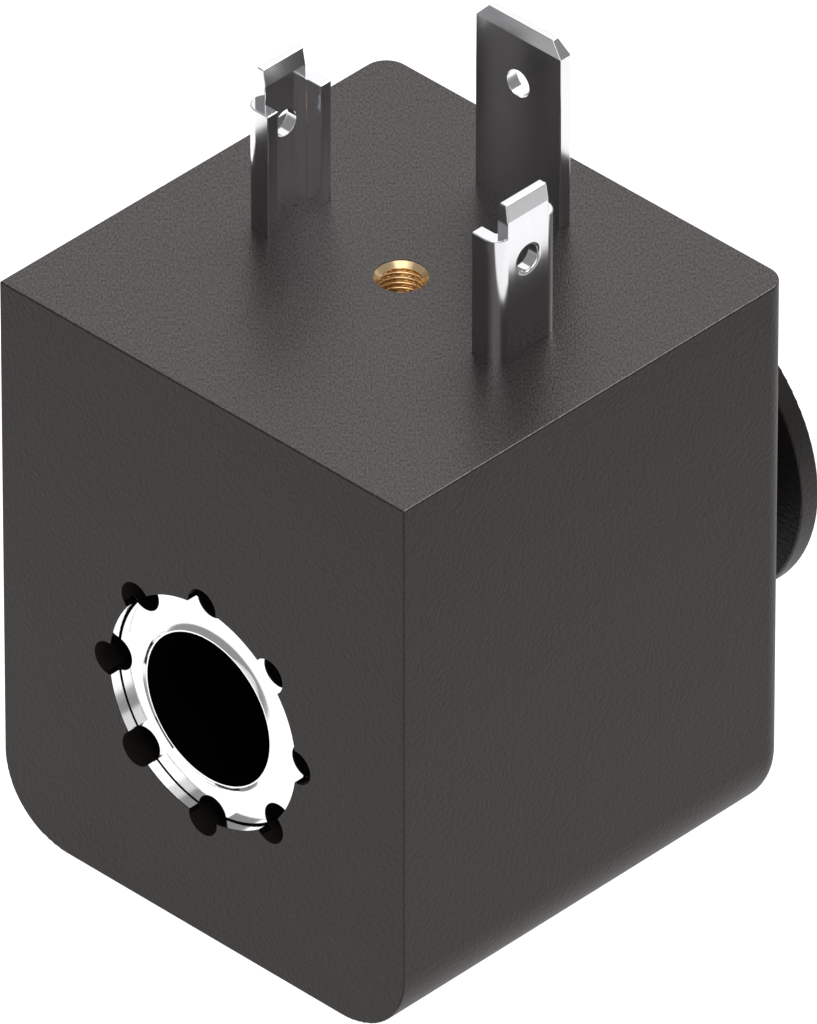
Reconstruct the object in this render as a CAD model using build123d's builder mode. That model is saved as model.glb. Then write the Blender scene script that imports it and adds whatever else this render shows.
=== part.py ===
"""Solenoid valve coil, 30.1 mm wide, with a three-blade connector and a captive retaining nut.

Millimetres. The origin is on the bore's axis, at the bore's front mouth, where the armature tube enters.
+Y runs along the bore to the retaining nut, +Z points to the blades, +X is to the right from the front.
"""
from build123d import *
import os
from math import sqrt

# Moulded housing
housing_width = 30.1
housing_depth = 29.6
bore_to_bottom = 14.8
bore_to_top = 20.9
bottom_corner_radius = 4.65
back_corner_radius = 1.4
edge_radius = 0.1
moulding_lip = 0.05
mould_gap = 0.004

# Bore, front disc and the recess that shows it
bore_radius = 4.6
sleeve_wall = 0.5
recess_radius = 7.0
recess_depth = 0.75
collar_height = 0.28
collar_rim = 0.08
collar_foot = 0.59
disc_thickness = 1.5
disc_gap = 0.1
ring_wall = 0.35
ring_flange_radius = 9.0
ring_flange_thickness = 0.7
front_sleeve_length = 10.6
rear_sleeve_length = 8.7
locating_hole_count = 8
locating_hole_radius = 1.05
locating_hole_pitch_radius = 7.05

# Yoke, bent from steel strip
yoke_thickness = 2.2
yoke_width = 20.0
yoke_bend_radius = 0.5
yoke_leg_height = 11.2
yoke_cover = 2.35
earth_tab_width = 8.0

# Bobbin, winding and tape
bobbin_flange_radius = 11.1
bobbin_flange_thickness = 1.0
bobbin_tube_radius = 6.0
winding_radius = 10.4
tape_thickness = 0.15
web_clearance = 0.5
press_gap = 0.02

# Power terminals, folded to a channel
terminal_pitch = 18.0
terminal_centre_depth = 15.3
sheet_thickness = 0.8
channel_length = 1.85
channel_width = 4.85
inner_bend_radius = 0.1
sheet_edge_radius = 0.06
flange_tip_radius = 0.07
shoulder_height = 7.85
nose_width = 3.1
nose_thickness = 0.808
nose_bevel_height = 8.86
nose_height = 9.88
nose_tip_width = 3.06
nose_tip_thickness = 0.48
blade_hole_radius = 0.825
hole_edge_radius = 0.03
power_hole_height = 5.79
power_hole_mouth_radius = 0.15
channel_root = 3.0
tail_width = 2.6
tail_bottom = 12.0

# Earth terminal and its rivet
earth_clearance = 0.2
earth_width = 6.3
earth_bevel_height = 11.05
earth_height = 11.9
earth_tip_width = 4.75
earth_tip_thickness = 0.4
earth_hole_height = 8.05
rivet_radius = 0.9
rivet_head_radius = 1.5
rivet_head_height = 0.5
rivet_edge_distance = 2.0

# Brass insert for the plug's centre screw, M3
insert_radius = 2.25
insert_length = 6.0
insert_mouth_radius = 1.5
insert_thread_radius = 1.23
insert_countersink = 0.31
insert_thread_depth = 5.2
insert_groove_width = 1.0
insert_groove_depth = 0.4
insert_flute_count = 12
insert_flute_radius = 0.25

# Terminal carrier, leads and solder
carrier_width = 20.4
carrier_depth = 6.4
carrier_bottom = 6.0
carrier_top = 14.0
lead_radius = 0.25
lead_hook_length = 1.2
lead_bend_radius = 0.6
lead_hole_gap = 0.15
solder_length = 1.0
solder_height = 1.0
solder_depth = 0.75
solder_pocket_gap = 0.3

# Retaining nut and what it carries
nut_opening_radius = 6.0
nut_opening_lip = 0.8
nut_chamber_radius = 7.2
nut_running_gap = 0.08
nut_end_gap = 0.15
nut_guide_radius = 4.65
neck_radius = 7.6
neck_length = 6.5
neck_flute_count = 16
neck_flute_radius = 0.6
flange_radius = 10.02
flange_thickness = 1.35
flange_edge_radius = 0.12
washer_thickness = 0.75
washer_gap = 0.05
nut_insert_radius = 5.4
nut_insert_length = 5.3
nut_insert_start = 0.4
nut_thread_radius = 3.46
snap_wire_radius = 0.35
snap_groove_gap = 0.05
snap_ring_arc = 320.0

# Places that follow from the sizes above. "depth" counts from the housing's front face.
housing_front = collar_height - recess_depth
housing_back = housing_front + housing_depth
disc_face = housing_front + recess_depth
yoke_front = disc_face + disc_thickness
yoke_back = housing_back - yoke_cover
coil_front = yoke_front + yoke_thickness
coil_back = yoke_back - yoke_thickness
web_top = -(bobbin_flange_radius + web_clearance)
web_bottom = web_top - yoke_thickness
sleeve_radius = bore_radius + sleeve_wall
tape_radius = winding_radius + tape_thickness
terminal_y = housing_front + terminal_centre_depth
web_outer_x = terminal_pitch / 2 + sheet_thickness / 2
web_inner_x = web_outer_x - sheet_thickness
channel_tip_x = web_outer_x - channel_length
earth_front = coil_back - sheet_thickness
earth_bottom = bobbin_flange_radius + earth_clearance
rivet_height = earth_bottom + rivet_edge_distance
earth_tab_height = rivet_height + rivet_edge_distance
lead_x = web_inner_x - lead_radius - press_gap
lead_y = terminal_y - lead_hook_length / 2
solder_z = tail_bottom + lead_hook_length
nut_front = yoke_back + nut_end_gap
skirt_radius = nut_opening_radius - nut_running_gap
neck_front = housing_back + washer_gap + washer_thickness
neck_back = housing_back + neck_length
nut_back = neck_back + flange_thickness
nut_insert_front = housing_back + nut_insert_start
snap_groove_bottom = nut_opening_radius - 2 * snap_wire_radius - snap_groove_gap
snap_ring_y = housing_back - nut_opening_lip - snap_wire_radius - snap_groove_gap


def across(y):
    """Plane across the bore at y, with X to the right and Z up; extrude by minus the length to go +Y."""
    return Plane.XZ.offset(-y)


def turned(points, mode=Mode.ADD):
    """Turned body about the bore's axis, from (radius, y) points."""
    with BuildSketch(Plane.XY) as section:
        with BuildLine():
            Polyline(*points, close=True)
        make_face()
    revolve(section.sketch, axis=Axis.Y, mode=mode)


def tube(inner, outer, start, end, mode=Mode.ADD):
    """Round tube, or a solid rod where the inner radius is zero, along the bore's axis."""
    turned([(inner, start), (outer, start), (outer, end), (inner, end)], mode)


def block(x_range, y_range, z_range, mode=Mode.ADD):
    """Block between two limits on each axis."""
    with BuildSketch(Plane.XY.offset(z_range[0])) as base:
        with Locations((sum(x_range) / 2, sum(y_range) / 2)):
            Rectangle(x_range[1] - x_range[0], y_range[1] - y_range[0])
    extrude(base.sketch, amount=z_range[1] - z_range[0], mode=mode)


def rod_along_y(radius, y_range, z, mode=Mode.ADD):
    """Rod parallel to the bore, at the height z above it."""
    with BuildSketch(across(y_range[0])) as end:
        with Locations((0, z)):
            Circle(radius)
    extrude(end.sketch, amount=y_range[0] - y_range[1], mode=mode)


def cut_locating_holes():
    """The ring of locating holes round the bore, down to the bobbin."""
    with BuildSketch(across(housing_front)) as holes:
        with PolarLocations(locating_hole_pitch_radius, locating_hole_count):
            Circle(locating_hole_radius)
    extrude(holes.sketch, amount=housing_front - coil_front, mode=Mode.SUBTRACT)


def yoke_solid(gap=0.0, mode=Mode.ADD):
    """U-shaped yoke with its earth tab, or its pocket where a gap is given."""
    with BuildSketch(Plane.YZ) as side_view:
        with Locations((yoke_front - gap, web_bottom - gap)):
            Rectangle(
                yoke_back - yoke_front + 2 * gap,
                yoke_leg_height - web_bottom + 2 * gap,
                align=(Align.MIN, Align.MIN),
            )
        with Locations((coil_front + gap, web_top + gap)):
            Rectangle(
                coil_back - coil_front - 2 * gap,
                yoke_leg_height - web_top + 2 * gap,
                align=(Align.MIN, Align.MIN),
                mode=Mode.SUBTRACT,
            )
        fillet(side_view.vertices().group_by(Axis.Y)[1], yoke_bend_radius - gap)
        fillet(side_view.vertices().group_by(Axis.Y)[0], yoke_bend_radius + yoke_thickness + gap)
    extrude(side_view.sketch, amount=yoke_width / 2 + gap, both=True, mode=mode)
    half_tab = earth_tab_width / 2 + gap
    block(
        (-half_tab, half_tab),
        (coil_back - gap, yoke_back + gap),
        (yoke_leg_height - yoke_thickness, earth_tab_height + gap),
        mode,
    )


def channel_column(x_range, width, corner_radius, gap, mode):
    """Upright column with two round outer corners: the outside or the hollow of a folded channel."""
    with BuildSketch(Plane.XY.offset(bore_to_top - channel_root - gap)) as outline:
        with Locations((x_range[0], terminal_y)):
            Rectangle(x_range[1] - x_range[0], width, align=(Align.MIN, Align.CENTER))
        fillet(outline.vertices().group_by(Axis.X)[-1], corner_radius)
    extrude(outline.sketch, amount=channel_root + gap + shoulder_height, mode=mode)


def power_terminal_body(gap=0.0):
    """Channel and tail of the right power terminal, up to its shoulder, or their pocket."""
    channel_column(
        (channel_tip_x - gap, web_outer_x + gap),
        channel_width + 2 * gap,
        inner_bend_radius + sheet_thickness + gap,
        gap,
        Mode.ADD,
    )
    channel_column(
        (channel_tip_x - sheet_thickness, web_inner_x - gap),
        channel_width - 2 * (sheet_thickness + gap),
        inner_bend_radius,
        gap,
        Mode.SUBTRACT,
    )
    block(
        (web_inner_x - gap, web_outer_x + gap),
        (terminal_y - tail_width / 2 - gap, terminal_y + tail_width / 2 + gap),
        (tail_bottom - gap, bore_to_top - channel_root),
    )


def eased_blade(centre, sections):
    """Upright blade through (height above the moulding, X size, Y size) sections, with eased edges."""
    outlines = []
    for height, x_size, y_size in sections:
        with BuildSketch(Plane.XY.offset(bore_to_top + height)) as outline:
            with Locations(centre):
                RectangleRounded(x_size, y_size, sheet_edge_radius)
        outlines.append(outline.sketch)
    blade = loft(outlines, ruled=True)
    fillet(blade.faces().sort_by(Axis.Z)[-1].edges(), sheet_edge_radius)


def hole_rims(piece, height, radius):
    """Both rims of a blade's hole, whose centre is at this height above the moulding."""
    rims = piece.edges().filter_by(GeomType.CIRCLE)
    middle = bore_to_top + height
    return rims.filter_by_position(Axis.Z, middle - 1.5 * radius, middle + 1.5 * radius)


def carrier_block(gap=0.0, mode=Mode.ADD):
    """Outer block of the terminal carrier, or its pocket."""
    half_width = carrier_width / 2 + gap
    half_depth = carrier_depth / 2 + gap
    block(
        (-half_width, half_width),
        (terminal_y - half_depth, terminal_y + half_depth),
        (carrier_bottom, carrier_top + gap),
        mode,
    )


def lead_path(side):
    """Centre line of a lead: up from the winding, then along the terminal's tail."""
    return FilletPolyline(
        (side * lead_x, lead_y, sqrt(winding_radius**2 - (lead_x - lead_radius) ** 2)),
        (side * lead_x, lead_y, solder_z),
        (side * lead_x, lead_y + lead_hook_length, solder_z),
        radius=lead_bend_radius,
    )


def cut_lead_holes():
    """Holes for the upright runs of both leads, open to the solder pockets."""
    with BuildSketch(Plane.XY) as holes:
        with Locations((-lead_x, lead_y), (lead_x, lead_y)):
            Circle(lead_radius + lead_hole_gap)
    extrude(holes.sketch, amount=solder_z, mode=Mode.SUBTRACT)


# Front ring: a lining of the recess with a flange buried in the moulding
with BuildPart() as front_ring:
    ring_outer = recess_radius + ring_wall
    turned(
        [
            (recess_radius, housing_front + moulding_lip),
            (ring_outer, housing_front + moulding_lip),
            (ring_outer, yoke_front - ring_flange_thickness),
            (ring_flange_radius, yoke_front - ring_flange_thickness),
            (ring_flange_radius, yoke_front),
            (recess_radius, yoke_front),
        ]
    )
    cut_locating_holes()
front_ring.part.label = "front_ring"

# Front flux sleeve: polished disc with a flared collar round the bore, and a tube into the bobbin
with BuildPart() as front_flux_sleeve:
    disc_radius = recess_radius - disc_gap
    collar_radius = bore_radius + collar_rim
    foot_radius = collar_radius + collar_foot
    slope_radius = (collar_foot**2 + collar_height**2) / (2 * collar_height)
    with BuildSketch(Plane.XY):
        with BuildLine():
            Line((bore_radius, 0), (collar_radius, 0))
            RadiusArc((collar_radius, 0), (foot_radius, disc_face), slope_radius)
            Polyline(
                (foot_radius, disc_face),
                (disc_radius, disc_face),
                (disc_radius, yoke_front),
                (sleeve_radius, yoke_front),
                (sleeve_radius, front_sleeve_length),
                (bore_radius, front_sleeve_length),
                (bore_radius, 0),
            )
        make_face()
    revolve(axis=Axis.Y)
    cut_locating_holes()
front_flux_sleeve.part.label = "front_flux_sleeve"

# Rear flux sleeve: a tube in the yoke's rear leg
rear_sleeve_front = yoke_back - rear_sleeve_length
with BuildPart() as rear_flux_sleeve:
    tube(bore_radius, sleeve_radius, rear_sleeve_front, yoke_back)
rear_flux_sleeve.part.label = "rear_flux_sleeve"

# Yoke frame: floor and two legs, bored for the sleeves
with BuildPart() as yoke_frame:
    yoke_solid()
    rod_along_y(sleeve_radius + press_gap, (yoke_front, yoke_back), 0, Mode.SUBTRACT)
    rod_along_y(rivet_radius, (coil_back, yoke_back), rivet_height, Mode.SUBTRACT)
    cut_locating_holes()
yoke_frame.part.label = "yoke_frame"

# Bobbin: counterbored for both sleeves, with the bore's own radius between them
with BuildPart() as bobbin:
    front_seat_end = front_sleeve_length + press_gap
    rear_seat_end = rear_sleeve_front - press_gap
    seat_radius = sleeve_radius + press_gap
    turned(
        [
            (seat_radius, coil_front),
            (bobbin_flange_radius, coil_front),
            (bobbin_flange_radius, coil_front + bobbin_flange_thickness),
            (bobbin_tube_radius, coil_front + bobbin_flange_thickness),
            (bobbin_tube_radius, coil_back - bobbin_flange_thickness),
            (bobbin_flange_radius, coil_back - bobbin_flange_thickness),
            (bobbin_flange_radius, coil_back),
            (seat_radius, coil_back),
            (seat_radius, rear_seat_end),
            (bore_radius, rear_seat_end),
            (bore_radius, front_seat_end),
            (seat_radius, front_seat_end),
        ]
    )
bobbin.part.label = "bobbin"

# Winding and its tape, between the bobbin's flanges
winding_front = coil_front + bobbin_flange_thickness
winding_back = coil_back - bobbin_flange_thickness
with BuildPart() as winding:
    tube(bobbin_tube_radius, winding_radius, winding_front, winding_back)
winding.part.label = "winding"

with BuildPart() as winding_tape:
    tube(winding_radius, tape_radius, winding_front, winding_back)
    cut_lead_holes()
winding_tape.part.label = "winding_tape"

# Bevelled nose of a power terminal
web_centre_x = (web_inner_x + web_outer_x) / 2
with BuildPart() as terminal_nose:
    eased_blade(
        (web_centre_x, terminal_y),
        (
            (shoulder_height - 2 * sheet_edge_radius, nose_thickness, nose_width),
            (nose_bevel_height, nose_thickness, nose_width),
            (nose_height, nose_tip_thickness, nose_tip_width),
        ),
    )

# Power terminals: channel, shoulder, nose, hole and tail
with BuildPart() as right_terminal:
    power_terminal_body()
    upright_edges = right_terminal.edges().filter_by(Axis.Z).group_by(Axis.X)[0]
    fillet(upright_edges, flange_tip_radius)
    fillet(right_terminal.faces().sort_by(Axis.Z)[-1].edges(), sheet_edge_radius)
    add(terminal_nose.part)
    with BuildSketch(Plane.YZ):
        with Locations((terminal_y, bore_to_top + power_hole_height)):
            Circle(blade_hole_radius)
    extrude(amount=web_outer_x, mode=Mode.SUBTRACT)
    inner_rim, outer_rim = hole_rims(right_terminal, power_hole_height, blade_hole_radius).sort_by(Axis.X)
    fillet(inner_rim, hole_edge_radius)
    fillet(outer_rim, power_hole_mouth_radius)
right_terminal.part.label = "right_terminal"

with BuildPart() as left_terminal:
    mirror(right_terminal.part, about=Plane.YZ)
left_terminal.part.label = "left_terminal"

# Earth terminal: flat blade on the yoke's tab, with a bevelled tip
earth_back = earth_front + sheet_thickness
earth_middle_y = (earth_front + earth_back) / 2
with BuildPart() as earth_terminal:
    eased_blade(
        (0, earth_middle_y),
        (
            (earth_bottom - bore_to_top, earth_width, sheet_thickness),
            (earth_bevel_height, earth_width, sheet_thickness),
            (earth_height, earth_tip_width, earth_tip_thickness),
        ),
    )
    rod_along_y(blade_hole_radius, (earth_front, earth_back), bore_to_top + earth_hole_height, Mode.SUBTRACT)
    fillet(hole_rims(earth_terminal, earth_hole_height, blade_hole_radius), hole_edge_radius)
    rod_along_y(rivet_radius, (earth_front, earth_back), rivet_height, Mode.SUBTRACT)
earth_terminal.part.label = "earth_terminal"

# Rivet through the blade's foot and the yoke's tab
with BuildPart() as earth_rivet:
    rod_along_y(rivet_radius, (earth_front, yoke_back), rivet_height)
    rod_along_y(rivet_head_radius, (earth_front - rivet_head_height, earth_front), rivet_height)
    rod_along_y(rivet_head_radius, (yoke_back, yoke_back + rivet_head_height), rivet_height)
    head_rims = earth_rivet.faces().filter_by(Axis.Y)
    fillet(head_rims.sort_by(Axis.Y)[0].edges(), rivet_head_height / 2)
    fillet(head_rims.sort_by(Axis.Y)[-1].edges(), rivet_head_height / 2)
earth_rivet.part.label = "earth_rivet"

# Brass insert: countersunk mouth, blind threaded bore, grip groove and flutes
insert_top = bore_to_top - moulding_lip
insert_bottom = insert_top - insert_length
insert_middle = insert_bottom + insert_length / 2
with BuildPart() as threaded_insert:
    with BuildSketch(Plane.XZ):
        with BuildLine():
            Polyline(
                (0, insert_bottom),
                (insert_radius, insert_bottom),
                (insert_radius, insert_middle - insert_groove_width / 2),
                (insert_radius - insert_groove_depth, insert_middle - insert_groove_width / 2),
                (insert_radius - insert_groove_depth, insert_middle + insert_groove_width / 2),
                (insert_radius, insert_middle + insert_groove_width / 2),
                (insert_radius, insert_top),
                (insert_mouth_radius, insert_top),
                (insert_thread_radius, insert_top - insert_countersink),
                (insert_thread_radius, insert_top - insert_thread_depth),
                (0, insert_top - insert_thread_depth),
                close=True,
            )
        make_face()
    revolve(axis=Axis.Z)
    with BuildSketch(Plane.XY.offset(insert_bottom)):
        with PolarLocations(insert_radius, insert_flute_count):
            Circle(insert_flute_radius)
    extrude(amount=insert_length / 2, mode=Mode.SUBTRACT)
threaded_insert.part.locate(Location((0, terminal_y, 0)))
threaded_insert.part.label = "threaded_insert"

# Leads from the winding to the tails, and the solder that joins them
for side, name in ((-1, "start_lead"), (1, "finish_lead")):
    with BuildPart() as lead:
        with BuildLine() as route:
            lead_path(side)
        with BuildSketch(Plane(origin=route.line @ 0, z_dir=route.line % 0)):
            Circle(lead_radius)
        sweep()
    lead.part.label = name
    if side < 0:
        start_lead = lead
    else:
        finish_lead = lead

with BuildPart() as solder_joints:
    for side in (-1, 1):
        near, far = sorted((side * web_inner_x, side * (web_inner_x - solder_depth)))
        solder_y = terminal_y + lead_hook_length / 4
        block(
            (near, far),
            (solder_y - solder_length / 2, solder_y + solder_length / 2),
            (solder_z - solder_height / 2, solder_z + solder_height / 2),
        )
    fillet(solder_joints.edges().filter_by(Axis.Y), lead_radius / 2)
    add(start_lead.part, mode=Mode.SUBTRACT)
    add(finish_lead.part, mode=Mode.SUBTRACT)
solder_joints.part.label = "solder_joints"

# Terminal carrier: a saddle on the tape with a slot and a solder pocket for each tail
with BuildPart() as terminal_carrier:
    carrier_block()
    rod_along_y(
        tape_radius + press_gap,
        (terminal_y - carrier_depth / 2, terminal_y + carrier_depth / 2),
        0,
        Mode.SUBTRACT,
    )
    for side in (-1, 1):
        slot = sorted((side * (web_inner_x - press_gap), side * (web_outer_x + press_gap)))
        block(
            slot,
            (terminal_y - tail_width / 2 - press_gap, terminal_y + tail_width / 2 + press_gap),
            (tail_bottom, carrier_top),
            Mode.SUBTRACT,
        )
        pocket = sorted((side * web_inner_x, side * (web_inner_x - solder_depth - solder_pocket_gap)))
        half_pocket = lead_hook_length / 2 + lead_radius + solder_pocket_gap
        block(
            pocket,
            (terminal_y - half_pocket, terminal_y + half_pocket),
            (tail_bottom, carrier_top),
            Mode.SUBTRACT,
        )
    cut_lead_holes()
terminal_carrier.part.label = "terminal_carrier"

# Room for one power terminal in the moulding
with BuildPart() as terminal_pocket:
    power_terminal_body(mould_gap)

# Housing: block with round bottom and back corners, moulded round everything above
with BuildPart() as housing:
    with BuildSketch(across(housing_front)) as front_view:
        with Locations((0, -bore_to_bottom)):
            Rectangle(housing_width, bore_to_bottom + bore_to_top, align=(Align.CENTER, Align.MIN))
        fillet(front_view.vertices().group_by(Axis.Y)[0], bottom_corner_radius)
    extrude(amount=-housing_depth)
    back_edges = housing.faces().sort_by(Axis.Y)[-1].edges().sort_by(Axis.Z)
    fillet(back_edges[:-1], back_corner_radius)
    top_edges = housing.faces().sort_by(Axis.Z)[-1].edges()
    front_edges = housing.faces().sort_by(Axis.Y)[0].edges()
    fillet(top_edges + [edge for edge in front_edges if edge not in top_edges], edge_radius)
    turned(
        [
            (0, housing_front),
            (recess_radius, housing_front),
            (recess_radius, housing_front + moulding_lip),
            (recess_radius + ring_wall + mould_gap, housing_front + moulding_lip),
            (recess_radius + ring_wall + mould_gap, yoke_front - ring_flange_thickness - mould_gap),
            (ring_flange_radius + mould_gap, yoke_front - ring_flange_thickness - mould_gap),
            (ring_flange_radius + mould_gap, coil_front),
            (bobbin_flange_radius + mould_gap, coil_front),
            (bobbin_flange_radius + mould_gap, winding_front + mould_gap),
            (tape_radius + mould_gap, winding_front + mould_gap),
            (tape_radius + mould_gap, winding_back - mould_gap),
            (bobbin_flange_radius + mould_gap, winding_back - mould_gap),
            (bobbin_flange_radius + mould_gap, coil_back),
            (nut_chamber_radius, coil_back),
            (nut_chamber_radius, housing_back - nut_opening_lip),
            (nut_opening_radius, housing_back - nut_opening_lip),
            (nut_opening_radius, housing_back),
            (0, housing_back),
        ],
        Mode.SUBTRACT,
    )
    cut_locating_holes()
    yoke_solid(mould_gap, Mode.SUBTRACT)
    carrier_block(mould_gap, Mode.SUBTRACT)
    add(terminal_pocket.part, mode=Mode.SUBTRACT)
    add(terminal_pocket.part.mirror(Plane.YZ), mode=Mode.SUBTRACT)
    block(
        (-earth_width / 2 - mould_gap, earth_width / 2 + mould_gap),
        (earth_front - mould_gap, earth_back + mould_gap),
        (earth_bottom - mould_gap, bore_to_top),
        Mode.SUBTRACT,
    )
    rod_along_y(
        rivet_head_radius + mould_gap,
        (earth_front - rivet_head_height - mould_gap, yoke_back + rivet_head_height + mould_gap),
        rivet_height,
        Mode.SUBTRACT,
    )
    for radius, z_range in (
        (insert_radius + mould_gap, (insert_bottom - mould_gap, insert_top)),
        (insert_mouth_radius, (insert_top, bore_to_top)),
    ):
        with BuildSketch(Plane.XY.offset(z_range[0])):
            with Locations((0, terminal_y)):
                Circle(radius)
        extrude(amount=z_range[1] - z_range[0], mode=Mode.SUBTRACT)
housing.part.label = "housing"

# Retaining nut: skirt in the housing's opening, fluted neck, end flange, blind bore
with BuildPart() as retaining_nut:
    turned(
        [
            (nut_guide_radius, nut_front),
            (skirt_radius, nut_front),
            (skirt_radius, snap_ring_y - snap_wire_radius - snap_groove_gap),
            (snap_groove_bottom, snap_ring_y - snap_wire_radius - snap_groove_gap),
            (snap_groove_bottom, snap_ring_y + snap_wire_radius + snap_groove_gap),
            (skirt_radius, snap_ring_y + snap_wire_radius + snap_groove_gap),
            (skirt_radius, neck_front),
            (neck_radius, neck_front),
            (neck_radius, neck_back),
            (flange_radius, neck_back),
            (flange_radius, nut_back),
            (0, nut_back),
            (0, nut_insert_front + nut_insert_length),
            (nut_insert_radius, nut_insert_front + nut_insert_length),
            (nut_insert_radius, nut_insert_front),
            (nut_guide_radius, nut_insert_front),
        ]
    )
    flange_rims = retaining_nut.edges().filter_by(GeomType.CIRCLE).filter_by(
        lambda edge: edge.radius > (neck_radius + flange_radius) / 2
    )
    fillet(flange_rims, flange_edge_radius)
    with BuildSketch(across(neck_front)):
        with PolarLocations(neck_radius + neck_flute_radius / 2, neck_flute_count):
            Circle(neck_flute_radius)
    extrude(amount=neck_front - neck_back, mode=Mode.SUBTRACT)
retaining_nut.part.label = "retaining_nut"

with BuildPart() as nut_thread_insert:
    tube(nut_thread_radius, nut_insert_radius, nut_insert_front, nut_insert_front + nut_insert_length)
nut_thread_insert.part.label = "nut_thread_insert"

with BuildPart() as sealing_washer:
    tube(skirt_radius, neck_radius, housing_back + washer_gap, neck_front)
sealing_washer.part.label = "sealing_washer"

# Split wire ring in the skirt's groove, behind the lip of the housing's opening
with BuildPart() as snap_ring:
    with BuildSketch(Plane.XY):
        with Locations((skirt_radius, snap_ring_y)):
            Circle(snap_wire_radius)
    revolve(axis=Axis.Y, revolution_arc=snap_ring_arc)
snap_ring.part.label = "snap_ring"

os.makedirs("parts", exist_ok=True)
for piece in (
    housing,
    front_ring,
    front_flux_sleeve,
    rear_flux_sleeve,
    yoke_frame,
    bobbin,
    winding,
    winding_tape,
    start_lead,
    finish_lead,
    solder_joints,
    terminal_carrier,
    left_terminal,
    right_terminal,
    earth_terminal,
    earth_rivet,
    threaded_insert,
    retaining_nut,
    nut_thread_insert,
    sealing_washer,
    snap_ring,
):
    export_step(piece.part, f"parts/{piece.part.label}.step")
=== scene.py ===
# %% [markdown]
# A solenoid valve coil, dressed for its portrait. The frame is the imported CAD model, in metres, with the
# bore's axis along Y, the front face towards -Y and the blades towards +Z. Every node stays where the CAD
# puts it. This lesson gives each one its material, and makes the two screw threads as real geometry.

import math
import bpy
import bmesh
from mathutils import Matrix, Vector


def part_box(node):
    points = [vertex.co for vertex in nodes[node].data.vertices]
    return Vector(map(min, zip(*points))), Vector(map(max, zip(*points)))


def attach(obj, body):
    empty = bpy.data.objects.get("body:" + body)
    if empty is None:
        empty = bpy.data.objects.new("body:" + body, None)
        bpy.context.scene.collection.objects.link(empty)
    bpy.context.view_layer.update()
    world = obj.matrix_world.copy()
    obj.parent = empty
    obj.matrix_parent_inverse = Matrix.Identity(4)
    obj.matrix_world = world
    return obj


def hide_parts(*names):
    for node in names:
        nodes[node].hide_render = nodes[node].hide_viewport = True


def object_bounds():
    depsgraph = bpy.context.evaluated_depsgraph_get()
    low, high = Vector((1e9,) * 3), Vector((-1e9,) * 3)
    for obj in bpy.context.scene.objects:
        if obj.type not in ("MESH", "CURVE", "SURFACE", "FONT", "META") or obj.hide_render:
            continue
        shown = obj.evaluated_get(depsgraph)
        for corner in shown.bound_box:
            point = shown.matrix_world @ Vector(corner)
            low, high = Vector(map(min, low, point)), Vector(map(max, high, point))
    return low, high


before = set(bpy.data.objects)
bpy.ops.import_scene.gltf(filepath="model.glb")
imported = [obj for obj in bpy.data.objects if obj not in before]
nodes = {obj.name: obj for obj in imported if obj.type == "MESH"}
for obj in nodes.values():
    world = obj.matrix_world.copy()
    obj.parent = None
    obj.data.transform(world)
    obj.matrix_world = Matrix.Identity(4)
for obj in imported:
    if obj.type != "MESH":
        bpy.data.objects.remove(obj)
cad_low, cad_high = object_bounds()
MM = 0.001
print("nodes:", len(nodes), "size in mm:", [round(v / MM, 2) for v in cad_high - cad_low])

# %% [markdown]
# The camera stands where the photograph was taken from: about 36 degrees above the horizon, to the right of
# the front, and so far off that upright edges stay parallel. A long lens does that. The aim is the point
# that the middle of the picture looks at.

# %% Camera
CAMERA_AZIMUTH = math.radians(44.1463)
CAMERA_ELEVATION = math.radians(36.0092)
CAMERA_DISTANCE = 1.37323
CAMERA_LENS = 890.6
CAMERA_AIM = Vector((-6.149, 21.723, -1.390)) * MM
CAMERA_CLIP = (0.01, 20.0)

to_camera = Vector((
    math.sin(CAMERA_AZIMUTH) * math.cos(CAMERA_ELEVATION),
    -math.cos(CAMERA_AZIMUTH) * math.cos(CAMERA_ELEVATION),
    math.sin(CAMERA_ELEVATION),
))
camera_data = bpy.data.cameras.new("portrait_lens")
camera_data.lens = CAMERA_LENS
camera_data.clip_start, camera_data.clip_end = CAMERA_CLIP
camera = bpy.data.objects.new("camera", camera_data)
camera.location = CAMERA_AIM + to_camera * CAMERA_DISTANCE
camera.rotation_mode = "QUATERNION"
camera.rotation_quaternion = to_camera.to_track_quat("Z", "Y")
bpy.context.scene.collection.objects.link(camera)
bpy.context.scene.camera = camera
print("camera at", [round(v, 3) for v in camera.location])

# %% [markdown]
# Every shader and every Geometry Nodes tree below is built by one small helper. It adds a node, sets its
# properties, and fills its inputs with a value or with another node's output. Sockets go by name, or by
# number where names repeat: a Mix node takes its factor at 0, two numbers at 2 and 3, or two colours at 6
# and 7. Another helper turns the hex colours that a paint chart gives into the linear numbers that shaders
# work in.

# %% Helpers for node trees and colours
def linear(hex_colour, alpha=1.0):
    """Turns an sRGB hex colour such as "#46423F" into linear red, green, blue and alpha."""
    channels = [int(hex_colour[i:i + 2], 16) / 255 for i in (1, 3, 5)]
    return [c / 12.92 if c <= 0.04045 else ((c + 0.055) / 1.055) ** 2.4 for c in channels] + [alpha]


def add_node(tree, kind, inputs=(), out=None, stops=(), **settings):
    """Adds a node and returns it, or its output socket named or numbered by out.

    Inputs map a socket's name or number to a value or to another node's output. Stops are the positions
    and hex colours of a colour ramp.
    """
    node = tree.nodes.new(kind)
    for name, value in settings.items():
        setattr(node, name, value)
    for name, value in dict(inputs).items():
        if isinstance(value, bpy.types.NodeSocket):
            tree.links.new(value, node.inputs[name])
        else:
            node.inputs[name].default_value = value
    for i, (position, colour) in enumerate(stops):
        node.color_ramp.elements[i].position = position
        node.color_ramp.elements[i].color = linear(colour)
    return node if out is None else node.outputs[out]


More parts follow.
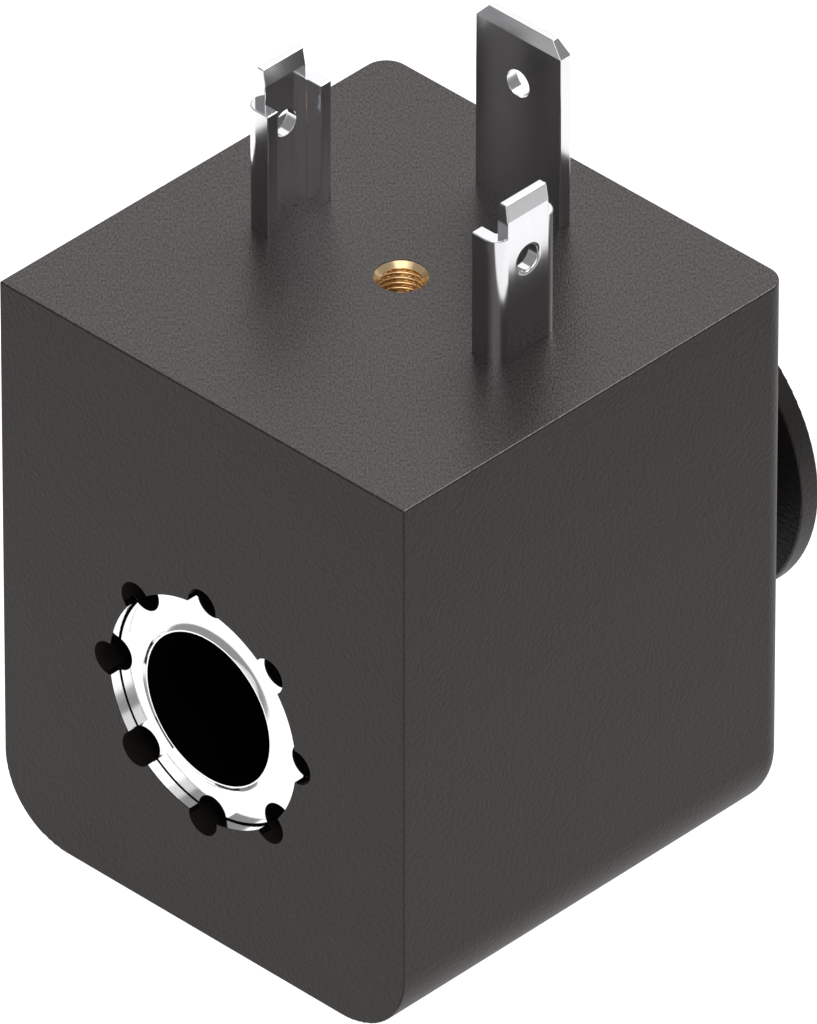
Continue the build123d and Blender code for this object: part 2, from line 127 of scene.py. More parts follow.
def start_material(name, **sockets):
    """A new material with its Principled shader; sockets are the shader's own even values."""
    material = bpy.data.materials.new(name)
    material.use_nodes = True
    shader = material.node_tree.nodes["Principled BSDF"]
    for socket, value in sockets.items():
        shader.inputs[socket.replace("_", " ")].default_value = value
    return material, material.node_tree, shader


def feed(shader, sources):
    """Links other nodes' outputs to a shader; sources map the shader's inputs to them."""
    for name, source in sources.items():
        shader.id_data.links.new(source, shader.inputs[name])


def per_metre(size_in_mm):
    """Scale of a pattern on Object coordinates whose features are this many millimetres wide."""
    return 1.0 / (size_in_mm * MM)


print("white is", linear("#FFFFFF"))

# %% [markdown]
# The studio is a light table in a grey room, as makers of catalogue pictures use it. The table is opal
# acrylic, lit from below. It glows white as far as the camera sees it and fades to grey beyond, so the object
# throws no shadow and the upright metal mirrors white. The glow is made by emission that depends on the
# distance from the middle of the picture. The plain view transform keeps white paper white. Sizes of the
# studio are in metres, and sizes of a material's pattern in millimetres.

# %% The light table
TABLE_SIZE = 8.0
TABLE_ROUGHNESS = 0.8
TABLE_HAZE_WIDTH = 667.0
TABLE_GLOW = 1.1
TABLE_DIM_GLOW = 0.15
GLOW_CENTRE = (-0.031, 0.024, 0.0)
GLOW_RADIUS = 0.07
GLOW_EDGE = 0.18

bpy.context.scene.view_settings.view_transform = "Standard"

acrylic, tree, shader = start_material("opal_acrylic_table", Roughness=TABLE_ROUGHNESS)
place = add_node(tree, "ShaderNodeTexCoord", out="Object")
haze = add_node(tree, "ShaderNodeTexNoise", {
    "Vector": place, "Scale": per_metre(TABLE_HAZE_WIDTH),
}, out="Fac")
tint = add_node(
    tree, "ShaderNodeValToRGB", {"Fac": haze}, out="Color", stops=((0, "#6C6C6C"), (1, "#747474")),
)
distance = add_node(
    tree, "ShaderNodeVectorMath", {0: place, 1: GLOW_CENTRE}, out="Value", operation="DISTANCE",
)
glow = add_node(tree, "ShaderNodeMapRange", {
    "Value": distance, "From Min": GLOW_RADIUS, "From Max": GLOW_EDGE,
    "To Min": TABLE_GLOW, "To Max": TABLE_DIM_GLOW,
}, out="Result", interpolation_type="SMOOTHSTEP")
shader.inputs["Emission Color"].default_value = linear("#FFFFFF")
feed(shader, {"Base Color": tint, "Emission Strength": glow})

table_mesh = bpy.data.meshes.new("table")
half_table = TABLE_SIZE / 2
table_corners = [(x * half_table, y * half_table, 0) for x, y in ((-1, -1), (1, -1), (1, 1), (-1, 1))]
table_mesh.from_pydata(table_corners, [], [(0, 1, 2, 3)])
table_mesh.materials.append(acrylic)
table = bpy.data.objects.new("table", table_mesh)
table.location.z = cad_low.z
bpy.context.scene.collection.objects.link(table)
print("table at height", round(cad_low.z / MM, 2), "mm")

# %% [markdown]
# Five softboxes hang round the object in a dim grey room. The overhead and the back one are what level metal
# and the moulding's top mirror, the small bright rim one draws the light lines along the edges, and the
# front and the key one lift the two sides. Each is named for its place, and its brightness counts in the
# same unit as the room's, where 1 is white.

# %% Softboxes and room
OBJECT_HEIGHT = Vector((0, 0, 0.02))
ROOM_BRIGHTNESS = 0.3


def softbox(name, direction, distance, size, brightness):
    """Square lamp that shines on the object from this direction; it adds its brightness to the room's."""
    lamp = bpy.data.lights.new(name, "AREA")
    lamp.shape = "SQUARE"
    lamp.size = size
    lamp.energy = brightness * math.pi * size ** 2
    box = bpy.data.objects.new(name, lamp)
    towards = Vector(direction).normalized()
    box.location = OBJECT_HEIGHT + towards * distance
    box.rotation_mode = "QUATERNION"
    box.rotation_quaternion = towards.to_track_quat("Z", "Y")
    bpy.context.scene.collection.objects.link(box)


softbox("overhead_softbox", (0.1, -0.1, 0.98), distance=1.5, size=1.2, brightness=1.0)
softbox("back_softbox", (-0.33, 0.6, 0.73), distance=1.2, size=1.4, brightness=0.95)
softbox("rim_softbox", (0.02, 0.58, 0.81), distance=1.2, size=0.6, brightness=7.0)
softbox("front_softbox", (0.4, -0.65, 0.6), distance=1.6, size=1.8, brightness=0.5)
softbox("key_softbox", (0.5, -0.46, 0.76), distance=1.4, size=1.2, brightness=0.7)

room = bpy.data.worlds.new("grey_room")
room.use_nodes = True
walls = room.node_tree.nodes["Background"]
walls.inputs["Color"].default_value = linear("#FFFFFF")
walls.inputs["Strength"].default_value = ROOM_BRIGHTNESS
bpy.context.scene.world = room
print("room at", ROOM_BRIGHTNESS)

# %% [markdown]
# The housing and the nut are polyamide filled with glass, moulded in a steel cavity that was spark eroded.
# That leaves an even leather-like grain, with bumps a quarter of a millimetre wide on the sides. The plate
# that shapes the housing's top is eroded finer: its bumps are a tenth of a millimetre wide and drawn out
# along one diagonal. Both come from one noise, and serve as a bump, because the grain is far too shallow to
# model.

# %% The grain of a spark-eroded mould
GRAIN_WIDTH = 0.24
GRAIN_DEPTH = 0.03
TOP_GRAIN_WIDTH = 0.1
TOP_GRAIN_STRETCH = 2.1
TOP_GRAIN_DEPTH = 0.012
TOP_GRAIN_DIRECTION = math.radians(44.15)
GRAIN_DETAIL = 1.0
GRAIN_SOFTNESS = 0.4


def eroded_grain(tree, place, width, stretch=1.0):
    """Socket with bumps this many millimetres wide, drawn out along the top's diagonal."""
    across = width * MM
    spot = add_node(tree, "ShaderNodeMapping", {
        "Vector": place,
        "Rotation": (0.0, 0.0, TOP_GRAIN_DIRECTION),
        "Scale": (across, across * stretch, across),
    }, out="Vector", vector_type="TEXTURE")
    return add_node(tree, "ShaderNodeTexNoise", {
        "Vector": spot, "Scale": 1.0, "Detail": GRAIN_DETAIL, "Roughness": GRAIN_SOFTNESS,
    }, out="Fac")


def distance_from_bore_axis(tree, place):
    """Socket with the distance from the Y axis, in metres."""
    flat = add_node(
        tree, "ShaderNodeVectorMath", {0: place, 1: (1.0, 0.0, 1.0)}, out="Vector", operation="MULTIPLY",
    )
    return add_node(tree, "ShaderNodeVectorMath", {0: flat}, out="Value", operation="LENGTH")


print("grain of", GRAIN_WIDTH, "mm on the sides and", TOP_GRAIN_WIDTH, "mm on top")

# %% [markdown]
# All mouldings share one material, in which a slow noise clouds the colour and the roughness a little, as
# the flow of the melt does. The housing's top is shinier and glints with its grain, so it looks greyer than
# the sides. The walls of the locating holes get painted shade: a darker colour and less sheen. Both places
# are found by Object coordinates: the top by its height, the holes by their distance from the bore's axis.

# %% Moulded plastics
FLOW_WIDTH = 6.0
FLOW_DETAIL = 3.0
GRAIN_TINT = 0.35
TINT_RANGE = (0.45, 0.9)
ROUGHNESS_SWING = 0.04
POLYAMIDE_IOR = 1.53
SIDE_SHEEN = 0.26
SHEEN_TINT = "#FFF5F2"
TOP_SHEEN = 0.6
TOP_GLINT = 0.38
TOP_GRAIN_RANGE = (0.3, 0.7)
TOP_ROUGHNESS = 0.3
TOP_SKIN = 0.1
# Painted shade on the walls of the locating holes: a darker colour and less sheen.
HOLE_SHADED_SHEEN = 0.1
HOLE_PAINTED_SHADE = "#1C1917"
HOLE_REACH = 8.2
HOLE_REACH_EDGE = 0.1
HOLE_START = 0.03

housing_low, housing_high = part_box("housing")
top_plane = housing_high.z / MM
front_plane = housing_low.y / MM


def dress_top_and_shade_holes(tree, shader, place, look, top_colours):
    """Changes the look on the housing's top, and paints shade on the walls of its locating holes."""
    top_grain = eroded_grain(tree, place, TOP_GRAIN_WIDTH, TOP_GRAIN_STRETCH)
    spot = add_node(tree, "ShaderNodeSeparateXYZ", {0: place}).outputs
    on_top, near_bore, past_face = (
        add_node(tree, "ShaderNodeMapRange", {
            "Value": value, "From Min": start * MM, "From Max": end * MM,
        }, out="Result")
        for value, start, end in (
            (spot["Z"], top_plane - TOP_SKIN, top_plane),
            (distance_from_bore_axis(tree, place), HOLE_REACH + HOLE_REACH_EDGE, HOLE_REACH),
            (spot["Y"], front_plane, front_plane + HOLE_START),
        )
    )
    # Painted shade: the walls of the locating holes get a darker colour and less sheen.
    hole_shade_mask = add_node(tree, "ShaderNodeMath", {0: near_bore, 1: past_face}, out=0, operation="MULTIPLY")
    glint = add_node(tree, "ShaderNodeMapRange", {
        "Value": top_grain, "From Min": TOP_GRAIN_RANGE[0], "From Max": TOP_GRAIN_RANGE[1],
        "To Min": TOP_SHEEN * (1 - TOP_GLINT), "To Max": TOP_SHEEN * (1 + TOP_GLINT),
    }, out="Result", clamp=False)
    sheen = add_node(tree, "ShaderNodeMix", {0: on_top, 2: SIDE_SHEEN, 3: glint}, out=0)
    sheen = add_node(tree, "ShaderNodeMix", {0: hole_shade_mask, 2: sheen, 3: HOLE_SHADED_SHEEN}, out=0)
    feed(shader, {"Specular IOR Level": sheen})
    top_colour = add_node(
        tree, "ShaderNodeValToRGB", {"Fac": top_grain}, out="Color", stops=zip(TOP_GRAIN_RANGE, top_colours),
    )
    for mask, colour in ((on_top, top_colour), (hole_shade_mask, linear(HOLE_PAINTED_SHADE))):
        look["colour"] = add_node(
            tree, "ShaderNodeMix", {0: mask, 6: look["colour"], 7: colour}, out=2, data_type="RGBA",
        )
    for trait, value in (("depth", TOP_GRAIN_DEPTH * MM), ("grain", top_grain), ("roughness", TOP_ROUGHNESS)):
        look[trait] = add_node(tree, "ShaderNodeMix", {0: on_top, 2: look[trait], 3: value}, out=0)


def moulded_polyamide(name, dark, light, roughness, top_colours=None):
    """Spark-eroded moulding; top colours are the dark and the light one of the housing's top."""
    material, tree, shader = start_material(
        name, IOR=POLYAMIDE_IOR, Specular_IOR_Level=SIDE_SHEEN, Specular_Tint=linear(SHEEN_TINT),
    )
    place = add_node(tree, "ShaderNodeTexCoord", out="Object")
    grain = eroded_grain(tree, place, GRAIN_WIDTH)
    clouds = add_node(tree, "ShaderNodeTexNoise", {
        "Vector": place, "Scale": per_metre(FLOW_WIDTH), "Detail": FLOW_DETAIL,
    }, out="Fac")
    mottle = add_node(
        tree, "ShaderNodeMath", {0: grain, 1: GRAIN_TINT, 2: clouds}, out=0, operation="MULTIPLY_ADD",
    )
    look = {
        "colour": add_node(
            tree, "ShaderNodeValToRGB", {"Fac": mottle}, out="Color", stops=zip(TINT_RANGE, (dark, light)),
        ),
        "roughness": add_node(tree, "ShaderNodeMapRange", {
            "Value": clouds, "To Min": roughness - ROUGHNESS_SWING, "To Max": roughness + ROUGHNESS_SWING,
        }, out="Result"),
        "grain": grain,
        "depth": GRAIN_DEPTH * MM,
    }
    if top_colours:
        dress_top_and_shade_holes(tree, shader, place, look, top_colours)
    relief = add_node(tree, "ShaderNodeBump", {
        "Height": look["grain"], "Distance": look["depth"], "Strength": 1.0,
    }, out="Normal")
    feed(shader, {"Base Color": look["colour"], "Roughness": look["roughness"], "Normal": relief})
    return material


housing_polyamide = moulded_polyamide(
    "black_polyamide_housing", "#1D1B19", "#252321", 0.5, top_colours=("#131110", "#1D1B1A"),
)
nut_polyamide = moulded_polyamide("black_polyamide_nut", "#191817", "#211F1E", 0.5)
bobbin_polyamide = moulded_polyamide("black_polyamide_bobbin", "#141312", "#1C1A19", 0.6)
print("mouldings:", [m.name for m in (housing_polyamide, nut_polyamide, bobbin_polyamide)])

# %% [markdown]
# The ring and the disc round the bore are steel with bright nickel plating, nearly a mirror. Turning left
# fine rings under the plating, a few hundredths of a millimetre apart, which blur reflections along the
# radius. They are drawn at 0.06 mm so that they can show at all. Inside the bore and the locating holes
# shade is painted on: the material turns dark and rough on the bore's wall and below the disc's face.

# %% Bright plated steel
TURNING_PITCH = 0.06
TURNING_DEPTH = 0.0005
TURNING_DETAIL = 2.0
TURNING_RELIEF = 0.5
PLATING_HAZE_WIDTH = 2.5
PLATING_ROUGHNESS = (0.08, 0.16)
# Painted shade inside the bore and the locating holes: its roughness, its colours and where it starts.
SHADE_ROUGHNESS = 0.5
BORE_PAINTED_SHADE = "#141210"
METAL_HOLE_PAINTED_SHADE = "#3E3B38"
BORE_RADIUS = 4.6
BORE_RIM = 0.05
BORE_SHADE = 0.03
DISC_FACE = 0.28
HOLE_SHADE = (0.02, 0.1)


def plated_steel(name, bright, dull):
    """Bright nickel on turned steel, with painted shade inside the bore and in the locating holes."""
    material, tree, shader = start_material(name, Metallic=1.0)
    place = add_node(tree, "ShaderNodeTexCoord", out="Object")
    radius = distance_from_bore_axis(tree, place)
    depth = add_node(tree, "ShaderNodeSeparateXYZ", {0: place}, out="Y")
    turning = add_node(tree, "ShaderNodeTexNoise", {
        "W": radius, "Scale": per_metre(TURNING_PITCH), "Detail": TURNING_DETAIL,
    }, out="Fac", noise_dimensions="1D")
    haze = add_node(tree, "ShaderNodeTexNoise", {
        "Vector": place, "Scale": per_metre(PLATING_HAZE_WIDTH),
    }, out="Fac")
    on_wall, past_mouth, hole_shade_mask = (
        add_node(tree, "ShaderNodeMapRange", {
            "Value": value, "From Min": start * MM, "From Max": end * MM,
        }, out="Result")
        for value, start, end in (
            (radius, BORE_RADIUS + BORE_RIM, BORE_RADIUS + BORE_RIM / 2),
            (depth, 0.0, BORE_SHADE),
            (depth, DISC_FACE + HOLE_SHADE[0], DISC_FACE + HOLE_SHADE[1]),
        )
    )
    # Painted shade: the bore's wall and all metal below the disc's face turn dark and rough.
    bore_shade_mask = add_node(tree, "ShaderNodeMath", {0: on_wall, 1: past_mouth}, out=0, operation="MULTIPLY")
    painted_shade = add_node(tree, "ShaderNodeMath", {0: bore_shade_mask, 1: hole_shade_mask}, out=0, operation="MAXIMUM")
    colour = add_node(
        tree, "ShaderNodeValToRGB", {"Fac": haze}, out="Color", stops=((0, dull), (1, bright)),
    )
    for mask, shade in ((hole_shade_mask, METAL_HOLE_PAINTED_SHADE), (bore_shade_mask, BORE_PAINTED_SHADE)):
        colour = add_node(
            tree, "ShaderNodeMix", {0: mask, 6: colour, 7: linear(shade)}, out=2, data_type="RGBA",
        )
    polish = add_node(tree, "ShaderNodeMapRange", {
        "Value": turning, "To Min": PLATING_ROUGHNESS[0], "To Max": PLATING_ROUGHNESS[1],
    }, out="Result")
    roughness = add_node(tree, "ShaderNodeMix", {0: painted_shade, 2: polish, 3: SHADE_ROUGHNESS}, out=0)
    relief = add_node(tree, "ShaderNodeBump", {
        "Height": turning, "Distance": TURNING_DEPTH * MM, "Strength": TURNING_RELIEF,
    }, out="Normal")
    feed(shader, {"Base Color": colour, "Roughness": roughness, "Normal": relief})
    return material


bright_nickel = plated_steel("bright_nickel_on_steel", "#FAFAFA", "#F0F0F2")
print("turning marks of", TURNING_PITCH, "mm on", bright_nickel.name)

# %% [markdown]
# The blades are brass strip, stamped and folded, then tinned. Tin is a soft bright metal: it mirrors the
# black moulding low down and the white room at the top. Rolling left faint lines along the strip, so a
# noise stretched along Z roughens the surface in streaks. The yoke's phosphated strip and the drawn spring
# wire are made the same way, with streaks of their own, and solder gets even ripples.

# %% Sheet metals, wire and solder
STREAK_DETAIL = 3.0
STREAK_RELIEF = 0.4


def streaked_metal(name, light, dark, streak_size, roughness, relief_depth):
    """Rolled or drawn metal. The streaks' width and length along Z, and their depth, are in millimetres."""
    material, tree, shader = start_material(name, Metallic=1.0)
    place = add_node(tree, "ShaderNodeTexCoord", out="Object")
    across, along = (per_metre(size) for size in streak_size)
    stretched = add_node(tree, "ShaderNodeMapping", {
        "Vector": place, "Scale": (across, across, along),
    }, out="Vector")
    streaks = add_node(tree, "ShaderNodeTexNoise", {
        "Vector": stretched, "Scale": 1.0, "Detail": STREAK_DETAIL,
    }, out="Fac")
    colour = add_node(
        tree, "ShaderNodeValToRGB", {"Fac": streaks}, out="Color", stops=((0, dark), (1, light)),
    )
    polish = add_node(tree, "ShaderNodeMapRange", {
        "Value": streaks, "To Min": roughness[0], "To Max": roughness[1],
    }, out="Result")
    relief = add_node(tree, "ShaderNodeBump", {
        "Height": streaks, "Distance": relief_depth * MM, "Strength": STREAK_RELIEF,
    }, out="Normal")
    feed(shader, {"Base Color": colour, "Roughness": polish, "Normal": relief})
    return material


tinned_brass = streaked_metal(
    "tin_plated_brass_strip", "#E8E8EA", "#DFDFE1",
    streak_size=(0.08, 2.0), roughness=(0.1, 0.17), relief_depth=0.0002,
)
phosphated_steel = streaked_metal(
    "phosphated_steel_strip", "#4A4A4C", "#38383A",
    streak_size=(0.1, 3.0), roughness=(0.42, 0.55), relief_depth=0.0004,
)
spring_wire = streaked_metal(
    "drawn_spring_wire", "#A9A9AC", "#8C8C90",
    streak_size=(0.05, 0.6), roughness=(0.2, 0.32), relief_depth=0.0004,
)
tin_solder = streaked_metal(
    "tin_solder", "#C9C9CB", "#ADADB0",
    streak_size=(0.3, 0.3), roughness=(0.22, 0.4), relief_depth=0.01,
)
print("metals:", [m.name for m in (tinned_brass, phosphated_steel, spring_wire, tin_solder)])

# %% [markdown]
# The winding is enamelled copper wire of 0.2 mm, laid turn by turn along the bore, so bands across Y show the
# turns. The tape over it is thin amber polyester, glossy, with the turns faintly printed through. Both are
# sealed in the moulding, but a sectional view would show them.

# %% Winding and tape
WIRE_DIAMETER = 0.2
TURN_RELIEF = 0.6


def banded_turns(name, light, dark, metallic, roughness, relief_depth):
    """Material with a band for each turn of wire along Y."""
    material, tree, shader = start_material(name, Metallic=metallic, Roughness=roughness)
    place = add_node(tree, "ShaderNodeTexCoord", out="Object")
    depth = add_node(tree, "ShaderNodeSeparateXYZ", {0: place}, out="Y")
    turns = add_node(
        tree, "ShaderNodeMath", {0: depth, 1: per_metre(WIRE_DIAMETER)}, out=0, operation="MULTIPLY",
    )
    wave = add_node(tree, "ShaderNodeMath", {0: turns, 1: 1.0}, out=0, operation="PINGPONG")
    colour = add_node(tree, "ShaderNodeValToRGB", {"Fac": wave}, out="Color", stops=((0, dark), (1, light)))
    relief = add_node(tree, "ShaderNodeBump", {
        "Height": wave, "Distance": relief_depth * MM, "Strength": TURN_RELIEF,
    }, out="Normal")
    feed(shader, {"Base Color": colour, "Normal": relief})
    return material


copper_turns = banded_turns(
    "enamelled_copper_wire", "#B4642F", "#6E3415", metallic=1.0, roughness=0.28, relief_depth=0.08,
)
amber_tape = banded_turns(
    "amber_polyester_tape", "#C99A2E", "#B5861F", metallic=0.0, roughness=0.18, relief_depth=0.01,
)
print("turns every", WIRE_DIAMETER, "mm")

# %% [markdown]
# Nitrile rubber is matte and nearly black, with a fine cloudy bloom.

# %% Rubber
RUBBER_IOR = 1.52
BLOOM_WIDTH = 0.5
BLOOM_DETAIL = 3.0
RUBBER_ROUGHNESS = (0.6, 0.75)

nitrile_rubber, tree, shader = start_material("nitrile_rubber", IOR=RUBBER_IOR)
place = add_node(tree, "ShaderNodeTexCoord", out="Object")
bloom = add_node(tree, "ShaderNodeTexNoise", {
    "Vector": place, "Scale": per_metre(BLOOM_WIDTH), "Detail": BLOOM_DETAIL,
}, out="Fac")
colour = add_node(
    tree, "ShaderNodeValToRGB", {"Fac": bloom}, out="Color", stops=((0, "#171717"), (1, "#222121")),
)
matte = add_node(tree, "ShaderNodeMapRange", {
    "Value": bloom, "To Min": RUBBER_ROUGHNESS[0], "To Max": RUBBER_ROUGHNESS[1],
}, out="Result")
feed(shader, {"Base Color": colour, "Roughness": matte})
print("rubber:", nitrile_rubber.name)

# %% [markdown]
# The inserts are turned from yellow brass, which a countersink and a tap leave bright. The threads are real
# geometry, so the material only adds a fine even grain, which varies the tone and the polish a little.

# %% Turned brass
turned_brass = streaked_metal(
    "turned_yellow_brass", "#FFE6BC", "#FCD79C",
    streak_size=(0.05, 0.05), roughness=(0.18, 0.28), relief_depth=0.0004,
)
print("brass:", turned_brass.name)

# %% [markdown]
# A screw thread follows a rule, so Geometry Nodes make it. A flat grid is the unrolled wall of the hole: one
# side of the grid goes once round, the other goes along. The rule gives every point a radius from its phase
# in the thread's wave, which climbs one pitch in a turn. The wave has a narrow flat crest and a rounded
# root, as a tap cuts it, and runs out at both ends. The rule is a table of sums, one Math node for each
# line, and every line has a name that later lines can use. The tree ends by welding the seam.

# %% A tree that rolls up a threaded wall
CREST_SHARE = 0.12
THREAD_RUNOUT = 0.3
SEAM_GAP = 1e-7

THREAD_RULE = (
    ("turn", "ADD", "across", 0.5),
    ("share along", "ADD", "along", 0.5),
    ("height", "MULTIPLY", "share along", "Length"),
    ("pitches", "DIVIDE", "height", "Pitch"),
    ("climb", "SUBTRACT", "pitches", "turn"),
    ("phase", "FRACT", "climb"),
    ("saw", "MULTIPLY_ADD", "phase", 2.0, -1.0),
    ("wave", "ABSOLUTE", "saw"),
    ("past crest", "SUBTRACT", "wave", CREST_SHARE),
    ("share of flank", "DIVIDE", "past crest", 1.0 - CREST_SHARE),
    ("flank", "MAXIMUM", "share of flank", 0.0),
    ("rest of arc", "SUBTRACT", 2.0, "flank"),
    ("arc squared", "MULTIPLY", "flank", "rest of arc"),
    ("arc", "SQRT", "arc squared"),
    ("height left", "SUBTRACT", "Length", "height"),
    ("to end", "MINIMUM", "height", "height left"),
    ("runout", "MULTIPLY", "Pitch", THREAD_RUNOUT),
    ("share of runout", "DIVIDE", "to end", "runout"),
    ("fullness", "MINIMUM", "share of runout", 1.0),
    ("full depth", "SUBTRACT", "Root Radius", "Crest Radius"),
    ("shape", "MULTIPLY", "arc", "fullness"),
    ("cut", "MULTIPLY", "shape", "full depth"),
    ("radius", "ADD", "Crest Radius", "cut"),
    ("angle", "MULTIPLY", "turn", math.tau),
    ("cosine", "COSINE", "angle"),
    ("sine", "SINE", "angle"),
    ("x", "MULTIPLY", "radius", "cosine"),
    ("y", "MULTIPLY", "radius", "sine"),
)


def build_thread_tree(material):
    """Geometry Nodes tree for the wall of a threaded hole along Z, from z = 0 up."""
    tree = bpy.data.node_groups.new("threaded_wall", "GeometryNodeTree")
    tree.interface.new_socket("Geometry", in_out="OUTPUT", socket_type="NodeSocketGeometry")
    for name in ("Crest Radius", "Root Radius", "Pitch", "Length"):
        tree.interface.new_socket(name, in_out="INPUT", socket_type="NodeSocketFloat")
    for name in ("Points Round", "Points Along"):
        tree.interface.new_socket(name, in_out="INPUT", socket_type="NodeSocketInt")
    given = add_node(tree, "NodeGroupInput").outputs
    grid = add_node(tree, "GeometryNodeMeshGrid", {
        "Size X": 1.0, "Size Y": 1.0,
        "Vertices X": given["Points Round"], "Vertices Y": given["Points Along"],
    }, out="Mesh")
    position = add_node(tree, "GeometryNodeInputPosition", out=0)
    spot = add_node(tree, "ShaderNodeSeparateXYZ", {0: position}).outputs
    known = {"across": spot["X"], "along": spot["Y"]}
    for name in ("Crest Radius", "Root Radius", "Pitch", "Length"):
        known[name] = given[name]
    for result, operation, *terms in THREAD_RULE:
        values = {i: known.get(term, term) for i, term in enumerate(terms)}
        known[result] = add_node(tree, "ShaderNodeMath", values, out=0, operation=operation)
    rolled = add_node(tree, "ShaderNodeCombineXYZ", {
        "X": known["x"], "Y": known["y"], "Z": known["height"],
    }, out=0)
    wall = add_node(tree, "GeometryNodeSetPosition", {"Geometry": grid, "Position": rolled}, out=0)
    welded = add_node(tree, "GeometryNodeMergeByDistance", {"Geometry": wall, "Distance": SEAM_GAP}, out=0)
    real = add_node(tree, "GeometryNodeRealizeInstances", {"Geometry": welded}, out=0)
    dressed = add_node(tree, "GeometryNodeSetMaterial", {"Geometry": real, "Material": material}, out=0)
    add_node(tree, "NodeGroupOutput", {"Geometry": dressed})
    return tree


def roll_thread(tree, sizes):
    """Plain mesh that the tree makes with these input values, by input name."""
    carrier = bpy.data.objects.new("thread_blank", bpy.data.meshes.new("thread_blank"))
    bpy.context.scene.collection.objects.link(carrier)
    modifier = carrier.modifiers.new("thread", "NODES")
    modifier.node_group = tree
    for item in tree.interface.items_tree:
        if item.in_out == "INPUT":
            modifier[item.identifier] = sizes[item.name]
    evaluated = carrier.evaluated_get(bpy.context.evaluated_depsgraph_get())
    mesh = bpy.data.meshes.new_from_object(evaluated)
    bpy.data.objects.remove(carrier)
    return mesh


thread_tree = build_thread_tree(turned_brass)
print("thread tree with", len(thread_tree.nodes), "nodes")

# %% [markdown]
# The rest of an insert is a turned body. Its outline, from the thread's top round the outside and back to
# the thread's foot, is swept once round. The body and the thread share their end circles, so welding them
# gives one closed shell, which the printed count of open edges confirms.

# %% Turned bodies round a thread
POINTS_ROUND = 96
WELD_GAP = 2e-7
SHARP_ANGLE = math.radians(35)


def add_ring(shell, radius, height):
    """Ring of new vertices about Z, or one vertex again and again where the radius is zero."""
    if radius == 0:
        return [shell.verts.new((0, 0, height))] * POINTS_ROUND
    angles = [math.tau * i / POINTS_ROUND for i in range(POINTS_ROUND)]
    return [shell.verts.new((radius * math.cos(a), radius * math.sin(a), height)) for a in angles]


def threaded_body(name, outline, thread_sizes, thread_start, placement, material):
    """Shell of revolution about Z with a threaded hole; outline is (radius, height) from the thread's top."""
    wall = roll_thread(thread_tree, thread_sizes)
    wall.transform(Matrix.Translation((0, 0, thread_start)))
    shell = bmesh.new()
    shell.from_mesh(wall)
    bpy.data.meshes.remove(wall)
    rings = [add_ring(shell, radius, height) for radius, height in outline]
    for lower, upper in zip(rings, rings[1:]):
        for i in range(POINTS_ROUND):
            j = (i + 1) % POINTS_ROUND
            corners = list(dict.fromkeys((lower[i], lower[j], upper[j], upper[i])))
            if len(corners) > 2:
                shell.faces.new(corners)
    bmesh.ops.remove_doubles(shell, verts=shell.verts, dist=WELD_GAP)
    bmesh.ops.recalc_face_normals(shell, faces=shell.faces)
    open_edges = sum(1 for edge in shell.edges if edge.is_boundary)
    mesh = bpy.data.meshes.new(name)
    shell.to_mesh(mesh)
    shell.free()
    mesh.materials.clear()
    mesh.materials.append(material)
    mesh.polygons.foreach_set("material_index", [0] * len(mesh.polygons))
    mesh.transform(placement)
    mesh.set_sharp_from_angle(angle=SHARP_ANGLE)
    piece = bpy.data.objects.new(name, mesh)
    bpy.context.scene.collection.objects.link(piece)
    print(name, "faces:", len(mesh.polygons), "open edges:", open_edges)
    return piece


# %% [markdown]
# The plug's centre screw is M3 with a fine pitch. Its insert lies a hair under the moulding's top. The blind
# hole has a countersunk mouth and a flat floor, and the outside has a groove that the moulding grips. The
# thread is turned by half a turn, so that it starts at the mouth where the photograph shows it.

# %% The plug screw's insert
screw_low, screw_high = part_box("threaded_insert")
SCREW_MOUTH = 1.5 * MM
SCREW_CREST = 1.23 * MM
SCREW_ROOT = 1.42 * MM
SCREW_PITCH = 0.33 * MM
SCREW_COUNTERSINK = 0.31 * MM
SCREW_THREAD_LENGTH = 4.89 * MM
SCREW_THREAD_TURN = math.radians(180)
SCREW_POINTS_ALONG = 289
GROOVE_WIDTH = 1.0 * MM
GROOVE_DEPTH = 0.4 * MM

screw_middle = (screw_low + screw_high) / 2
screw_body = (screw_high.x - screw_low.x) / 2
screw_waist = screw_body - GROOVE_DEPTH
groove_top = screw_middle.z + GROOVE_WIDTH / 2
groove_bottom = screw_middle.z - GROOVE_WIDTH / 2
thread_top = screw_high.z - SCREW_COUNTERSINK
thread_bottom = thread_top - SCREW_THREAD_LENGTH
screw_insert = threaded_body(
    "plug_screw_insert",
    [
        (SCREW_CREST, thread_top),
        (SCREW_MOUTH, screw_high.z),
        (screw_body, screw_high.z),
        (screw_body, groove_top),
        (screw_waist, groove_top),
        (screw_waist, groove_bottom),
        (screw_body, groove_bottom),
        (screw_body, screw_low.z),
        (0, screw_low.z),
        (0, thread_bottom),
        (SCREW_CREST, thread_bottom),
    ],
    {
        "Crest Radius": SCREW_CREST, "Root Radius": SCREW_ROOT, "Pitch": SCREW_PITCH,
        "Length": SCREW_THREAD_LENGTH, "Points Round": POINTS_ROUND + 1, "Points Along": SCREW_POINTS_ALONG,
    },
    thread_bottom,
    Matrix.Translation((screw_middle.x, screw_middle.y, 0)) @ Matrix.Rotation(SCREW_THREAD_TURN, 4, "Z"),
    turned_brass,
)
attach(screw_insert, "coil")
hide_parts("threaded_insert")

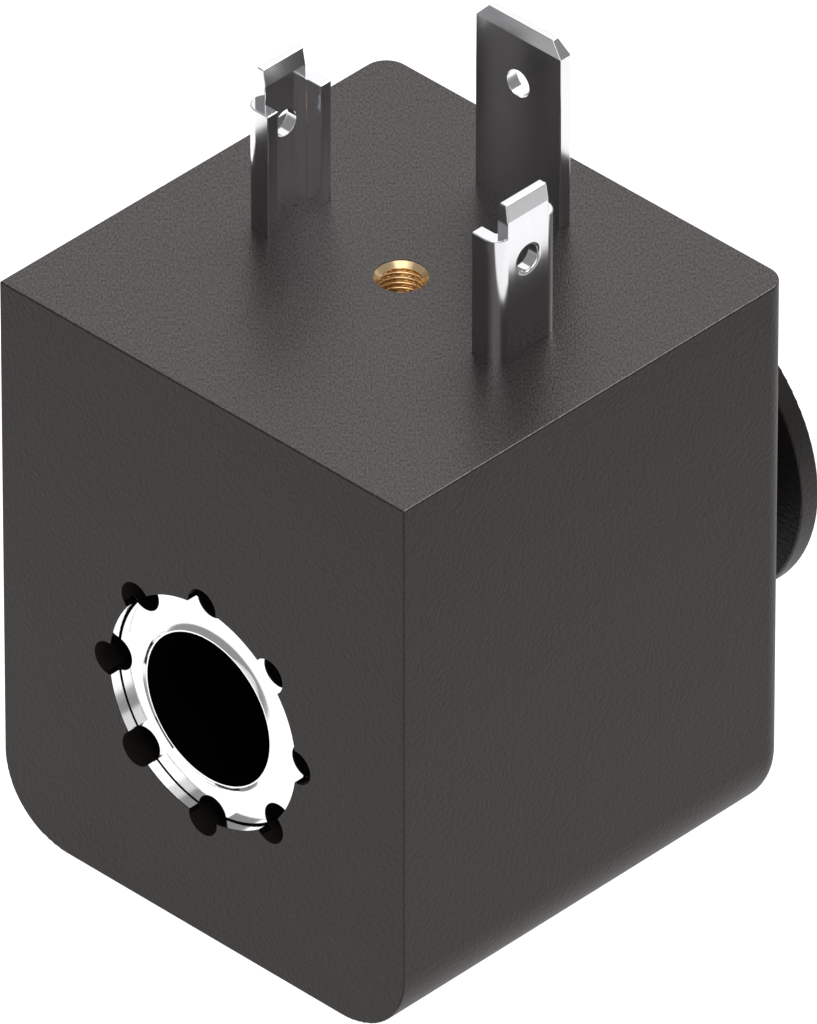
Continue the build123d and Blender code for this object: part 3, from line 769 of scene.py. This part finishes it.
# %% [markdown]
# The nut's insert carries an M8 thread with a pitch of 1 mm, made by the same tree. It is built upright like
# the other insert and then laid along the bore.

# %% The nut's insert
nut_low, nut_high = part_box("nut_thread_insert")
NUT_CREST = 3.46 * MM
NUT_ROOT = 4.0 * MM
NUT_PITCH = 1.0 * MM
NUT_POINTS_ALONG = 85
UPRIGHT_TO_BORE = Matrix.Rotation(math.radians(90), 4, "X")

nut_body = (nut_high.x - nut_low.x) / 2
nut_length = nut_high.y - nut_low.y
nut_insert = threaded_body(
    "nut_thread",
    [(NUT_CREST, nut_length), (nut_body, nut_length), (nut_body, 0), (NUT_CREST, 0)],
    {
        "Crest Radius": NUT_CREST, "Root Radius": NUT_ROOT, "Pitch": NUT_PITCH,
        "Length": nut_length, "Points Round": POINTS_ROUND + 1, "Points Along": NUT_POINTS_ALONG,
    },
    0,
    Matrix.Translation((0, nut_high.y, 0)) @ UPRIGHT_TO_BORE,
    turned_brass,
)
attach(nut_insert, "nut")
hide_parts("nut_thread_insert")

# %% [markdown]
# Each node gets the finish of its real material. A node's slots are emptied first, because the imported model
# carries a plain stand-in colour. The two nodes that the threaded inserts stand for get theirs too, though
# they are hidden now.

# %% Finishes for the CAD nodes
finishes = {
    "housing": housing_polyamide,
    "retaining_nut": nut_polyamide,
    "bobbin": bobbin_polyamide,
    "terminal_carrier": bobbin_polyamide,
    "front_ring": bright_nickel,
    "front_flux_sleeve": bright_nickel,
    "rear_flux_sleeve": bright_nickel,
    "yoke_frame": phosphated_steel,
    "left_terminal": tinned_brass,
    "right_terminal": tinned_brass,
    "earth_terminal": tinned_brass,
    "earth_rivet": tinned_brass,
    "solder_joints": tin_solder,
    "winding": copper_turns,
    "start_lead": copper_turns,
    "finish_lead": copper_turns,
    "winding_tape": amber_tape,
    "sealing_washer": nitrile_rubber,
    "snap_ring": spring_wire,
    "nut_thread_insert": turned_brass,
    "threaded_insert": turned_brass,
}
for name, finish in finishes.items():
    nodes[name].data.materials.clear()
    nodes[name].data.materials.append(finish)
print("dressed", len(finishes), "of", len(nodes), "nodes")
